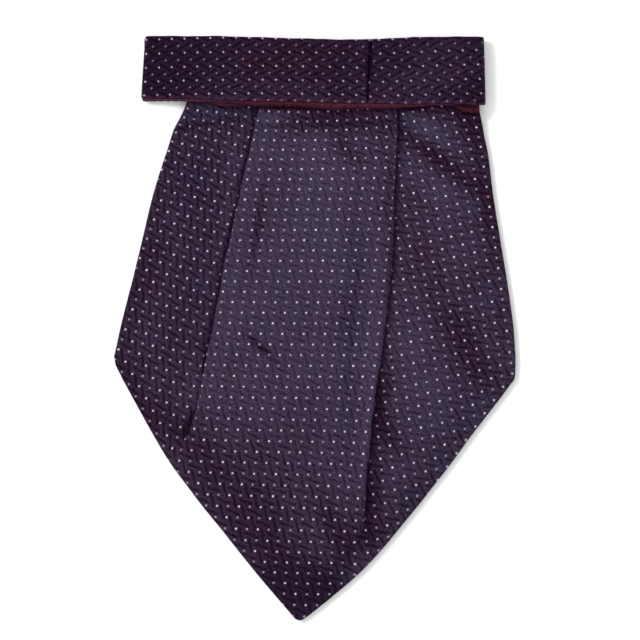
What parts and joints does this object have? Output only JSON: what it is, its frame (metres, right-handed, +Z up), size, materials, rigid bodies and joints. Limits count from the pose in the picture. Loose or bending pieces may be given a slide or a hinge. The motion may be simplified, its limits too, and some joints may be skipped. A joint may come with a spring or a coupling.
{
  "type": "silk cravat",
  "caption": "Pleated silk cravat folded for display: a wide pointed blade lies face up below a flattened loop of neckband, with a wine lining along the band's lower edge.",
  "frame": {"origin": "centre of the outline in X and Y, on the surface that the cravat lies on", "axes": "+X to the wearer's left across the blade as the viewer sees it, +Y from the blade's point to the neckband, +Z up off the surface, out of the face"},
  "size_m": [0.1606, 0.2334, 0.01],
  "materials": {
    "silk": "dark violet shot silk with a basket-weave ground and pale pin dots",
    "neckband_silk": "the same silk cut on the bias, darker, with pale pin dots",
    "lining": "plain wine-red satin lining"
  },
  "bodies": {
    "root": {"front_blade": "silk", "rear_blade": "silk", "neckband_left": "neckband_silk", "neckband_right": "neckband_silk", "neckband_lining": "lining"}
  },
  "joints": []
}
